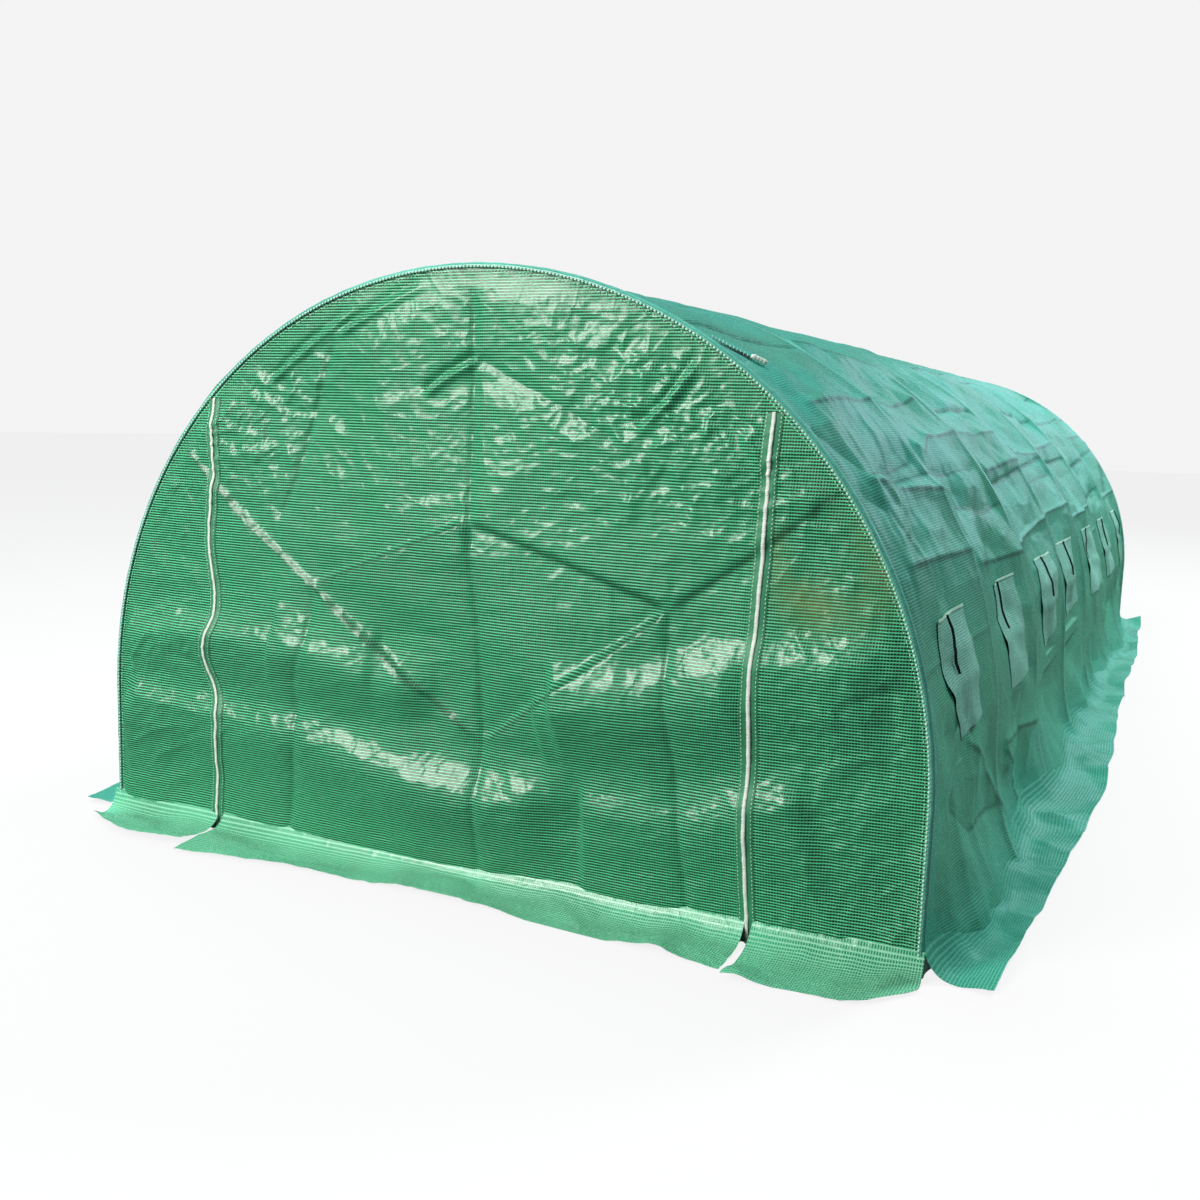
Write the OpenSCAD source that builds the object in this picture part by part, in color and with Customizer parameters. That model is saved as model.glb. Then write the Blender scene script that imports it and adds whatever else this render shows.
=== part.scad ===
// Polytunnel greenhouse: a tube frame of round-topped hoops under a film cover,
// with a zipped door curtain, a row of flapped windows on each side and loose
// skirts on the ground. X is the width, Y the length, the door end faces -Y.

/* [Tunnel] */
// Width over the cover
tunnel_w = 3000; // [2400:100:3600]
// Height of the straight legs below the bow
leg_h = 470; // [420:10:600]
// Length over the end walls
tunnel_l = 7700; // [6300:100:9100]

/* [Frame] */
// Outside diameter of the frame tubes
tube_d = 25; // [19:1:32]
// Wall of the collars that hold the long tubes under the hoops
collar_wall = 4; // [3:0.5:6]
// Clearance between a long tube and its collar
collar_gap = 0.2; // [0.1:0.1:0.5]

/* [Cover] */
// Thickness of the film
film_t = 2; // [1.5:0.5:3]
// Width of the skirt that lies on the ground
skirt_w = 260; // [150:10:300]
// Cut taken off the free corners of a skirt
skirt_cut = 60; // [20:10:100]
// Width of the hem over an end hoop
hem_w = 40; // [25:5:60]

/* [Door] */
// Distance between the two zips
door_w = 2000; // [1600:50:2200]
// Height of a zip
zip_h = 1540; // [1200:10:1540]
// Width of a zip with both its tapes
zip_w = 36; // [24:2:50]
// Width of the zip's row of teeth
teeth_w = 8; // [6:1:12]
// Thickness of a zip tape
tape_t = 1; // [0.5:0.5:2]

/* [Windows] */
// Width of a window opening
window_w = 380; // [300:10:440]
// Height of a window's sill above the ground
window_low = 625; // [560:5:680]
// Height of a window's head above the ground
window_high = 915; // [860:5:940]
// Width of a window flap
flap_w = 450; // [380:10:520]
// How far a flap reaches past the opening at the head and the sill
flap_lap = 35; // [20:5:50]
// Width of a tie strap
tie_w = 10; // [6:1:20]
// Length of a tie strap down the flap
tie_l = 270; // [150:10:320]
// Thickness of a tie strap
tie_t = 1.5; // [1:0.5:3]

/* [Hidden] */
$fn = 360;
// Sides of a tube's circle where a hoop is bent
tube_sides = 48;
hoop_count = 8;
window_count = hoop_count - 1;
// Angles on the bow, from the top of the leg, where the cover's strips meet
band_a = 24;
shoulder_a = 57;
ridge_a = 90;
// Share of a flap's width, from its front edge, at which its tie hangs
tie_share = 0.4;

cover_r = tunnel_w / 2;
inner_r = cover_r - film_t;
frame_r = inner_r - tube_d / 2;
purlin_r = frame_r - tube_d;
collar_d = tube_d + 2 * collar_wall;
end_y = tunnel_l / 2;
hoop_end_y = end_y - film_t - tube_d / 2;
hoop_pitch = 2 * hoop_end_y / (hoop_count - 1);
zip_x = door_w / 2;

steel = "lightsteelblue";
film_green = "mediumseagreen";
pale_green = "mediumaquamarine";
white = "whitesmoke";
dark = "darkslategray";

function hoop_y(i) = -hoop_end_y + (i - 1) * hoop_pitch;
function window_y(i) = hoop_y(i) + hoop_pitch / 2;
function bow_angle(z) = asin((z - leg_h) / cover_r);

// Turns a shape about Z into one about the bow's own axis, along Y
module on_bow_axis() {
    translate([0, 0, leg_h]) rotate([90, 0, 0]) children();
}

// Puts a piece of the right side on the left side
module on_left() {
    mirror([1, 0, 0]) children();
}

// A strip of the bow from angle a0 to a1, width w along Y
module bow_strip(a0, a1, r0, r1, w) {
    on_bow_axis()
        rotate([0, 0, a0])
            rotate_extrude(angle = a1 - a0)
                translate([r0, -w / 2])
                    square([r1 - r0, w]);
}

// The part of the bow that a window takes up, from radius r0 to r1
module window_strip(r0, r1) {
    bow_strip(bow_angle(window_low), bow_angle(window_high), r0, r1, window_w);
}

// A straight tube along Y, between the end walls
module long_tube(x, z) {
    translate([x, end_y - film_t, z])
        rotate([90, 0, 0])
            cylinder(d = tube_d, h = tunnel_l - 2 * film_t);
}

// The hole for a long tube through a collar
module collar_bore(x, z) {
    translate([x, tube_d, z])
        rotate([90, 0, 0])
            cylinder(d = tube_d + 2 * collar_gap, h = 2 * tube_d);
}

// A collar under a hoop, as wide along Y as the hoop's own tube
module collar(x, z) {
    translate([x, tube_d / 2, z])
        rotate([90, 0, 0])
            cylinder(d = collar_d, h = tube_d);
}

// Places of the five long tubes, as [x, z]
purlin_places = [
    [0, leg_h + purlin_r],
    [-purlin_r, leg_h],
    [purlin_r, leg_h],
    [-purlin_r, collar_d / 2],
    [purlin_r, collar_d / 2]
];

module hoop(i) {
    color(steel)
        translate([0, hoop_y(i), 0])
            difference() {
                union() {
                    on_bow_axis()
                        rotate_extrude(angle = 180)
                            translate([frame_r, 0])
                                circle(d = tube_d, $fn = tube_sides);
                    for (x = [-frame_r, frame_r])
                        translate([x, 0, 0]) cylinder(d = tube_d, h = leg_h);
                    for (p = purlin_places)
                        collar(p[0], p[1]);
                }
                for (p = purlin_places)
                    collar_bore(p[0], p[1]);
            }
}

module purlin(k) {
    color(steel) long_tube(purlin_places[k][0], purlin_places[k][1]);
}

module right_wall() {
    color(film_green)
        translate([inner_r, -end_y, 0])
            cube([film_t, tunnel_l, leg_h]);
}

module right_window_band() {
    color(film_green)
        difference() {
            bow_strip(0, band_a, inner_r, cover_r, tunnel_l);
            for (i = [1 : window_count])
                translate([0, window_y(i), 0])
                    window_strip(inner_r - film_t, cover_r + film_t);
        }
}

module right_shoulder() {
    color(film_green) bow_strip(band_a, shoulder_a, inner_r, cover_r, tunnel_l);
}

module right_roof() {
    color(film_green) bow_strip(shoulder_a, ridge_a, inner_r, cover_r, tunnel_l);
}

// Outline of an end wall, inside the cover
module end_outline() {
    translate([0, leg_h]) circle(r = inner_r);
    translate([-inner_r, 0]) square([2 * inner_r, leg_h]);
}

// The part of an end wall from x0 to x1, above the ground
module end_piece(x0, x1, y) {
    translate([0, y, 0])
        rotate([90, 0, 0])
            linear_extrude(film_t)
                intersection() {
                    end_outline();
                    translate([x0, 0]) square([x1 - x0, leg_h + cover_r]);
                }
}

// The slots that the two zips close
module zip_slots() {
    for (x = [-zip_x, zip_x])
        translate([x - teeth_w / 2, -end_y - film_t, -film_t])
            cube([teeth_w, 3 * film_t, zip_h + film_t]);
}

module front_piece(x0, x1) {
    difference() {
        end_piece(x0, x1, -end_y + film_t);
        zip_slots();
    }
}

module front_left_panel() {
    color(film_green) front_piece(-cover_r, -zip_x);
}

module door_curtain() {
    color(film_green) front_piece(-zip_x, zip_x);
}

module front_right_panel() {
    color(film_green) front_piece(zip_x, cover_r);
}

// Zip: a row of teeth in its slot, with a tape on the outside of both edges
module zip(x) {
    color(white)
        translate([x, -end_y, 0])
            linear_extrude(zip_h) {
                translate([-teeth_w / 2, -tape_t]) square([teeth_w, film_t + tape_t]);
                translate([-zip_w / 2, -tape_t]) square([zip_w, tape_t]);
            }
}

module back_wall() {
    color(film_green) end_piece(-cover_r, cover_r, end_y);
}

// Hem round an end hoop, outside the cover
module arch_hem(y) {
    color(pale_green)
        translate([0, y, 0]) {
            bow_strip(0, 180, cover_r, cover_r + film_t, hem_w);
            for (x = [-cover_r - film_t, cover_r])
                translate([x, -hem_w / 2, film_t])
                    cube([film_t, hem_w, leg_h - film_t]);
        }
}

// A flat skirt of length l along X, reaching out from the wall along -Y
module skirt(l) {
    color(pale_green)
        linear_extrude(film_t)
            polygon([
                [0, 0], [0, skirt_cut - skirt_w], [skirt_cut, -skirt_w],
                [l - skirt_cut, -skirt_w], [l, skirt_cut - skirt_w], [l, 0]
            ]);
}

module front_skirt(x0, x1) {
    translate([x0, -end_y, 0]) skirt(x1 - x0);
}

module right_skirt() {
    translate([cover_r, -end_y, 0]) rotate([0, 0, 90]) skirt(tunnel_l);
}

module back_skirt() {
    translate([cover_r, end_y, 0]) rotate([0, 0, 180]) skirt(tunnel_w);
}

// The screen that fills each window opening
module right_window_screens() {
    color(dark)
        for (i = [1 : window_count])
            translate([0, window_y(i), 0])
                window_strip(inner_r, cover_r - film_t / 2);
}

module right_window_flaps() {
    color(pale_green)
        for (i = [1 : window_count])
            translate([0, window_y(i), 0])
                bow_strip(
                    bow_angle(window_low - flap_lap), bow_angle(window_high + flap_lap),
                    cover_r, cover_r + film_t, flap_w
                );
}

module right_window_ties() {
    top_a = bow_angle(window_high + flap_lap);
    color(dark)
        for (i = [1 : window_count])
            translate([0, window_y(i) + (tie_share - 0.5) * flap_w, 0])
                bow_strip(
                    top_a - tie_l / cover_r * 180 / PI, top_a,
                    cover_r + film_t, cover_r + film_t + tie_t, tie_w
                );
}

hoop(1);  // hoop_1
hoop(2);  // hoop_2
hoop(3);  // hoop_3
hoop(4);  // hoop_4
hoop(5);  // hoop_5
hoop(6);  // hoop_6
hoop(7);  // hoop_7
hoop(8);  // hoop_8
purlin(0);  // ridge_purlin
purlin(1);  // left_purlin
purlin(2);  // right_purlin
purlin(3);  // left_base_rail
purlin(4);  // right_base_rail
on_left() right_wall();  // left_wall
on_left() right_window_band();  // left_window_band
on_left() right_shoulder();  // left_shoulder
on_left() right_roof();  // left_roof
right_wall();
right_window_band();
right_shoulder();
right_roof();
front_left_panel();
door_curtain();
front_right_panel();
zip(-zip_x);  // left_zip
zip(zip_x);  // right_zip
back_wall();
arch_hem(-end_y + hem_w / 2);  // front_hem
arch_hem(end_y - hem_w / 2);  // back_hem
front_skirt(-cover_r, -zip_x - zip_w / 2);  // front_left_skirt
front_skirt(-zip_x + zip_w / 2, zip_x - zip_w / 2);  // door_skirt
front_skirt(zip_x + zip_w / 2, cover_r);  // front_right_skirt
on_left() right_skirt();  // left_skirt
right_skirt();
back_skirt();
on_left() right_window_screens();  // left_window_screens
right_window_screens();
on_left() right_window_flaps();  // left_window_flaps
right_window_flaps();
on_left() right_window_ties();  // left_window_ties
right_window_ties();
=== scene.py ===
# %% [markdown]
# # A polytunnel greenhouse
# The real thing is a row of steel hoops with one big bag of thread-reinforced film pulled over them.
# The frame below comes from the CAD model: the tubes stay as they are, and every film solid is replaced
# here by a thin sheet with folds, because creased film is what the eye sees first.

# %% Load the frame and take the measures from it
import math
import bpy
import numpy as np
from mathutils import Matrix, Vector


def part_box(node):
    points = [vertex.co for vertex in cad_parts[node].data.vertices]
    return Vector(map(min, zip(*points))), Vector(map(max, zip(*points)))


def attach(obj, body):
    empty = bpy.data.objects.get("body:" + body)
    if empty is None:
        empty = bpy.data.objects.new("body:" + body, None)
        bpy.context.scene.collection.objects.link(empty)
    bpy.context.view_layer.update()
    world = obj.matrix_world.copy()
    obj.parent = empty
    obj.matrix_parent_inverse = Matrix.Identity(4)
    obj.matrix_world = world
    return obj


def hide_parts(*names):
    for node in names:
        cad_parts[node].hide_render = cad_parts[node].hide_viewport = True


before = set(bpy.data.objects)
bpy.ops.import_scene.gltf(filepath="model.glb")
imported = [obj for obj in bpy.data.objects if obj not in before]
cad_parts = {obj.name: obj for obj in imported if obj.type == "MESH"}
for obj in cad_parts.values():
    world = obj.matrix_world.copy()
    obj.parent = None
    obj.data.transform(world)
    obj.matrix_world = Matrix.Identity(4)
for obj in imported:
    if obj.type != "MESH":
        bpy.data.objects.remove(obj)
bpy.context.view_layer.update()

wall_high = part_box("right_wall")[1]
COVER_R = wall_high.x
LEG_H = wall_high.z
END_Y = wall_high.y
TOP_Z = LEG_H + COVER_R
HOOPS = [f"hoop_{i}" for i in range(1, 9)]
HOOP_Y = np.array([0.5 * (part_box(n)[0].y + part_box(n)[1].y) for n in HOOPS])
BAY = HOOP_Y[1] - HOOP_Y[0]
ZIP_X = 0.5 * (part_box("right_zip")[0].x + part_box("right_zip")[1].x)
ZIP_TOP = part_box("right_zip")[1].z
BOW_S = COVER_R * math.pi / 2
SIDE_S = BOW_S + LEG_H
SEED = 11
print("tunnel", 2 * COVER_R, "wide", TOP_Z, "high", 2 * END_Y, "long,", len(HOOPS), "hoops")

# %% [markdown]
# ## The camera
# A pinhole camera was fitted to the outline of the tunnel, so its place, turn and focal length are written
# here as plain numbers. A small roll is part of the fit: the picture was taken by hand.

# %% Camera
CAMERA_PLACE = np.array([2.116, -7.255, 1.498])
CAMERA_YAW = math.radians(-25.65)
CAMERA_PITCH = math.radians(-7.91)
CAMERA_ROLL = math.radians(1.78)
FOCAL_PX = 1266.6
IMAGE_PX = 1200
SENSOR_MM = 36.0


def add_camera():
    ahead = np.array([
        math.sin(CAMERA_YAW) * math.cos(CAMERA_PITCH),
        math.cos(CAMERA_YAW) * math.cos(CAMERA_PITCH),
        math.sin(CAMERA_PITCH),
    ])
    across = np.cross(ahead, [0, 0, 1])
    across /= np.linalg.norm(across)
    up = np.cross(across, ahead)
    right = math.cos(CAMERA_ROLL) * across + math.sin(CAMERA_ROLL) * up
    top = -math.sin(CAMERA_ROLL) * across + math.cos(CAMERA_ROLL) * up
    data = bpy.data.cameras.new("camera")
    data.sensor_width = SENSOR_MM
    data.lens = FOCAL_PX / IMAGE_PX * SENSOR_MM
    data.clip_end = 200
    camera = bpy.data.objects.new("camera", data)
    turn = Matrix([list(right), list(top), list(-ahead)]).transposed().to_4x4()
    camera.matrix_world = Matrix.Translation(CAMERA_PLACE.tolist()) @ turn
    bpy.context.scene.collection.objects.link(camera)
    bpy.context.scene.camera = camera


add_camera()
bpy.context.scene.view_settings.view_transform = "Standard"
print("camera at", CAMERA_PLACE, "with a lens of", round(FOCAL_PX / IMAGE_PX * SENSOR_MM, 1), "mm")

# %% [markdown]
# ## Ways to fold a film
# Film that was packed for shipping keeps straight fold lines, crinkles like foil where it is bunched, and
# hangs in swags where it is slack. Each of these is a small function of a place on the flat sheet that
# says how far the film stands out there. A cloth simulation would give soft folds only, so the sharp folds
# are written as shapes.

# %% Noise, crinkles and patches
LATTICE = 64


def smooth(low, high, x):
    t = np.clip((x - low) / (high - low), 0, 1)
    return t * t * (3 - 2 * t)


def noise(u, v, seed):
    """Smooth noise between about -1 and 1, one bump to each unit."""
    turn = np.random.default_rng(seed).random((LATTICE, LATTICE)) * 2 * math.pi
    i, j = np.floor(u).astype(int), np.floor(v).astype(int)
    du, dv = u - i, v - j

    def corner(a, b):
        angle = turn[(i + a) % LATTICE, (j + b) % LATTICE]
        return np.cos(angle) * (du - a) + np.sin(angle) * (dv - b)

    fu = du ** 3 * (du * (du * 6 - 15) + 10)
    fv = dv ** 3 * (dv * (dv * 6 - 15) + 10)
    low = corner(0, 0) * (1 - fu) + corner(1, 0) * fu
    high = corner(0, 1) * (1 - fu) + corner(1, 1) * fu
    return 1.5 * (low * (1 - fv) + high * fv)


def crinkle(u, v, size, seed, octaves=3):
    """Sharp ridges like crumpled foil, about size apart, with finer ones on them."""
    total = np.zeros_like(u)
    for k in range(octaves):
        pitch = size / 2 ** k
        turn = 0.9 * k + 0.4
        a = (u * math.cos(turn) - v * math.sin(turn)) / pitch
        b = (u * math.sin(turn) + v * math.cos(turn)) / pitch
        bend = 0.35 * noise(a * 0.7 + 9, b * 0.7 + 4, seed + 50 + k)
        total += (1 - np.abs(noise(a + bend, b - bend, seed + k))) ** 3 / 2 ** k
    return total - 0.7


def facets(u, v, wide, high, seed):
    """Flat patches that meet in folds, as film keeps them from the box: random heights joined straight."""
    a = u / wide + 0.25 * noise(u / wide * 0.7, v / high * 0.7, seed + 1)
    b = v / high + 0.25 * noise(u / wide * 0.7 + 20, v / high * 0.7, seed + 2)
    heights = np.random.default_rng(seed).uniform(-1, 1, (LATTICE, LATTICE))
    i, j = np.floor(a).astype(int), np.floor(b).astype(int)
    fa, fb = a - i, b - j
    i, j = i % LATTICE, j % LATTICE
    low = heights[i, j] * (1 - fa) + heights[(i + 1) % LATTICE, j] * fa
    high_row = (j + 1) % LATTICE
    top = heights[i, high_row] * (1 - fa) + heights[(i + 1) % LATTICE, high_row] * fa
    return low * (1 - fb) + top * fb


# %% [markdown]
# ### Folds along a line
# A fold is drawn as a line of points on the flat sheet. How far a place is from that line, and on which
# side, decides how far the film stands out there. A sculpted mesh would do too, but a line can be moved by
# changing a number.

# %% Folds along a line
CREST = 0.004
STEP_WIDTH = 0.013


def distance(line, u, v):
    """Distance from each place to a line of points, with its sign (above a line that runs to the right
    is positive), and the share of the way along it."""
    line = np.array(line, float)
    runs = np.linalg.norm(np.diff(line, axis=0), axis=1)
    starts = np.concatenate([[0], np.cumsum(runs)])
    best = np.full(u.shape, 1e9)
    side = np.zeros(u.shape)
    share = np.zeros(u.shape)
    for k in range(len(line) - 1):
        du, dv = (line[k + 1] - line[k]) / runs[k]
        along = np.clip((u - line[k, 0]) * du + (v - line[k, 1]) * dv, 0, runs[k])
        away = np.hypot(u - line[k, 0] - along * du, v - line[k, 1] - along * dv)
        near = away < best
        across = (v - line[k, 1]) * du - (u - line[k, 0]) * dv
        best = np.where(near, away, best)
        side = np.where(near, np.where(across < 0, -1, 1), side)
        share = np.where(near, (starts[k] + along) / starts[-1], share)
    return best * side, share


def fade(share, first, last=None):
    """From 0 at the two ends of a line to 1 a little way in."""
    return smooth(0, first, share) * smooth(0, last or first, 1 - share)


def bell(d, width):
    return np.exp(-((d / width) ** 2))


def fold(line, u, v, height, width, below=None):
    """A sharp packing fold along a line: a ridge, or a valley with a negative height. The side below the
    line may have a width of its own."""
    d, share = distance(line, u, v)
    reach = np.where(d > 0, width, below or width)
    return height * fade(share, 0.05) * np.exp(-(np.hypot(d, CREST) - CREST) / reach)


def step(line, u, v, height, width):
    """A fold with one side lifted: the film above the line stands out and the film below lies back."""
    d, share = distance(line, u, v)
    return height * fade(share, 0.06) * np.tanh(d / STEP_WIDTH) * np.exp(-np.abs(d) / width)


def swag(line, u, v, height, above, below):
    """A slack roll: it comes out over the width above and goes back more slowly below."""
    d, share = distance(line, u, v)
    width = np.where(d > 0, above, below)
    return height * fade(share, 0.04, 0.12) * bell(d, width)


def pleat(line, u, v, depth, width):
    """A tight crease pulled into the film, with a lip beside it."""
    d, share = distance(line, u, v)
    return fade(share, 0.15) * depth * (bell(d - 1.6 * width, width) - bell(d, width))


def through(points, t):
    """A smooth line of values through (place, value) points."""
    points = sorted(points)
    places = np.array([p[0] for p in points], float)
    values = np.array([p[1] for p in points], float)
    slopes = np.gradient(values, places)
    k = np.clip(np.searchsorted(places, t) - 1, 0, len(places) - 2)
    gap = places[k + 1] - places[k]
    f = np.clip((t - places[k]) / gap, 0, 1)
    h1, h2 = f * f * (3 - 2 * f), f * f * (f - 1)
    h3 = f * (f - 1) ** 2
    return values[k] * (1 - h1) + values[k + 1] * h1 + gap * (h3 * slopes[k] + h2 * slopes[k + 1])


# %% [markdown]
# ## From a grid of places to a mesh
# Every sheet is a grid, so one function makes them all. The UV map keeps the flat sheet's own metres,
# which is what the woven threads in the film follow later.

# %% Sheet maker
def add_object(name, mesh):
    piece = bpy.data.objects.new(name, mesh)
    bpy.context.scene.collection.objects.link(piece)
    return piece


def add_sheet(name, places, flat_u, flat_v, material, outward, keep=None, fold_shade_amount=None):
    """A mesh from a grid of places (rows, columns, 3). outward is a direction that its faces look along,
    keep marks the grid's squares that stay, and fold_shade_amount is how much painted shade each place gets
    beside a fold line, partly for film lying double there."""
    rows, columns = places.shape[:2]
    index = np.arange(rows * columns).reshape(rows, columns)
    quads = np.stack([index[:-1, :-1], index[:-1, 1:], index[1:, 1:], index[1:, :-1]], axis=-1)
    a = places[1:, 1:] - places[:-1, :-1]
    b = places[:-1, 1:] - places[1:, :-1]
    facing = np.cross(a, b).reshape(-1, 3).mean(0) @ np.array(outward, float)
    if facing > 0:
        quads = quads[..., ::-1]
    quads = quads.reshape(-1, 4) if keep is None else quads[keep]
    mesh = bpy.data.meshes.new(name)
    mesh.from_pydata(places.reshape(-1, 3).tolist(), [], quads.tolist())
    uv = mesh.uv_layers.new(name="flat")
    corner = np.zeros(len(mesh.loops), int)
    mesh.loops.foreach_get("vertex_index", corner)
    flat = np.stack([flat_u.ravel()[corner], flat_v.ravel()[corner]], axis=1)
    uv.data.foreach_set("uv", flat.ravel().astype(np.float32))
    mesh.polygons.foreach_set("use_smooth", np.ones(len(mesh.polygons), bool))
    if fold_shade_amount is not None:
        fold_shade = mesh.attributes.new("fold_shade_amount", "FLOAT", "POINT")
        fold_shade.data.foreach_set("value", fold_shade_amount.ravel().astype(np.float32))
    mesh.materials.append(material)
    mesh.validate()
    mesh.update()
    piece = add_object(name, mesh)
    print(name, len(mesh.polygons), "faces")
    return piece


def stand_for(piece, nodes):
    """Puts a piece on the tunnel's one body, in place of its CAD nodes."""
    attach(piece, "root")
    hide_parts(*nodes)


def arch_section(s, radius):
    """x and z at s along the section from the ridge: round the bow, then straight down the leg."""
    angle = np.clip(s / COVER_R, -math.pi / 2, math.pi / 2)
    below = np.maximum(np.abs(s) - BOW_S, 0)
    return radius * np.sin(angle), LEG_H + radius * np.cos(angle) - below


# %% [markdown]
# ## Shader groups
# The threads in the film and the mottled tone are on every film material, so each is a node group that is
# built once. The threads read the sheet's own UV map in metres, and the tone reads Object coordinates.

# %% Helpers for node trees
def add_node(tree, kind, inputs=(), **settings):
    """A node with its settings. Each of its inputs is a socket to link or a value."""
    node = tree.nodes.new(kind)
    for label, value in settings.items():
        setattr(node, label, value)
    for label, value in dict(inputs).items():
        if isinstance(value, bpy.types.NodeSocket):
            tree.links.new(value, node.inputs[label])
        else:
            node.inputs[label].default_value = value
    return node


def new_group(name, inputs, outputs):
    """A shader group that reads a place and named numbers and puts out masks."""
    group = bpy.data.node_groups.new(name, "ShaderNodeTree")
    group.interface.new_socket(name="Place", in_out="INPUT", socket_type="NodeSocketVector")
    for label, value in inputs.items():
        socket = group.interface.new_socket(name=label, in_out="INPUT", socket_type="NodeSocketFloat")
        socket.default_value = value
    for label in outputs:
        group.interface.new_socket(name=label, in_out="OUTPUT", socket_type="NodeSocketFloat")
    return group, group.nodes.new("NodeGroupInput").outputs


def math_node(tree, operation, a, b=0.0, clamp=False):
    return add_node(tree, "ShaderNodeMath", {0: a, 1: b}, operation=operation, use_clamp=clamp).outputs[0]


def soft_range(tree, value, low, high, to_low=0.0, to_high=1.0):
    inputs = {"Value": value, "From Min": low, "From Max": high, "To Min": to_low, "To Max": to_high}
    return add_node(tree, "ShaderNodeMapRange", inputs, interpolation_type="SMOOTHSTEP").outputs[0]


# %% Threads
def thread_group():
    pitches = {"Row Pitch": 0.0089, "Column Pitch": 0.0080}
    group, start = new_group("film_threads", pitches, ("Rows", "Columns", "Height"))
    split = add_node(group, "ShaderNodeSeparateXYZ", {0: start["Place"]}).outputs
    masks = []
    for axis, pitch, low, high in ((1, "Row Pitch", 0.45, 0.80), (0, "Column Pitch", 0.50, 0.85)):
        part = math_node(group, "FRACT", math_node(group, "DIVIDE", split[axis], start[pitch]))
        away = math_node(group, "ABSOLUTE", math_node(group, "SUBTRACT", part, 0.5))
        masks.append(soft_range(group, math_node(group, "MULTIPLY", away, 2.0), low, high))
    both = math_node(group, "MAXIMUM", masks[0], masks[1])
    add_node(group, "NodeGroupOutput", {"Rows": masks[0], "Columns": masks[1], "Height": both})
    return group


THREADS = thread_group()
print(THREADS.name, "with", len(THREADS.nodes), "nodes")


# %% [markdown]
# ### Tone
# Film is mottled, crinkled and cracked by its folds. Noise gives the mottle and the crinkles, and the edges
# of bent cells give the long creases. Painted textures would show more, but noise works on any sheet.

# %% Tone
BEND = (0.04, 0.04, 0.04)


def tone_group():
    scales = {"Patch Scale": 2.5, "Crinkle Scale": 26.0, "Crease Scale": 9.0}
    group, start = new_group("film_tone", scales, ("Patches", "Crinkles", "Specks", "Creases"))
    place = start["Place"]

    def cloud(scale, detail=2.0, kind="FBM"):
        inputs = {"Vector": place, "Scale": scale, "Detail": detail}
        return add_node(group, "ShaderNodeTexNoise", inputs, noise_type=kind).outputs

    wander = {0: cloud(7)["Color"], 1: BEND, 2: place}
    bent = add_node(group, "ShaderNodeVectorMath", wander, operation="MULTIPLY_ADD").outputs[0]
    inputs = {"Vector": bent, "Scale": start["Crease Scale"]}
    cells = add_node(group, "ShaderNodeTexVoronoi", inputs, feature="DISTANCE_TO_EDGE")
    add_node(group, "NodeGroupOutput", {
        "Patches": cloud(start["Patch Scale"], 5)[0],
        "Crinkles": cloud(start["Crinkle Scale"], 4, "RIDGED_MULTIFRACTAL")[0],
        "Specks": cloud(160)[0],
        "Creases": soft_range(group, cells.outputs["Distance"], 0.0, 0.08, 1.0, 0.0),
    })
    return group


TONE = tone_group()
print(TONE.name, "with", len(TONE.nodes), "nodes")

# %% [markdown]
# ## Film materials
# The film is a clear green sheet with paler threads laid in it as a grid: rows show as light lines, and
# between threads it is darker. It is glossy, so crinkles glint. The same recipe with other colours serves
# the end walls, the roof, the skirts and the window flaps. One shared material would be simpler, but the
# roof is seen at a low angle and the skirts lie on bright ground, so each needs its own colours. These hold
# painted light: the roof's bluer teal is a painted reflection of the sky, and the skirts are painted paler.

# %% Helpers for materials
def colour(r, g, b):
    """A colour written as it looks on a screen, 0 to 255, turned to linear light."""
    parts = [c / 255 for c in (r, g, b)]
    return tuple(c / 12.92 if c < 0.04045 else ((c + 0.055) / 1.055) ** 2.4 for c in parts) + (1.0,)


def mix(tree, factor, a, b):
    return add_node(tree, "ShaderNodeMix", {0: factor, 6: a, 7: b}, data_type="RGBA").outputs[2]


def new_material(name, roughness, coat=0.0):
    material = bpy.data.materials.new(name)
    material.use_nodes = True
    tree = material.node_tree
    shader = tree.nodes["Principled BSDF"]
    shader.inputs["Roughness"].default_value = roughness
    shader.inputs["Coat Weight"].default_value = coat
    shader.inputs["Coat Roughness"].default_value = 0.18
    return material, tree, shader


def bump(tree, shader, heights):
    """Chains bump nodes, given as (height, strength, distance)."""
    chain = {}
    for height, strength, reach in heights:
        inputs = {"Height": height, "Strength": strength, "Distance": reach, **chain}
        chain = {"Normal": add_node(tree, "ShaderNodeBump", inputs).outputs[0]}
    tree.links.new(chain["Normal"], shader.inputs["Normal"])


# %% Film recipe
STAIN_REACH = 0.26
STAIN_COLOUR = colour(150, 136, 70)


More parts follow.
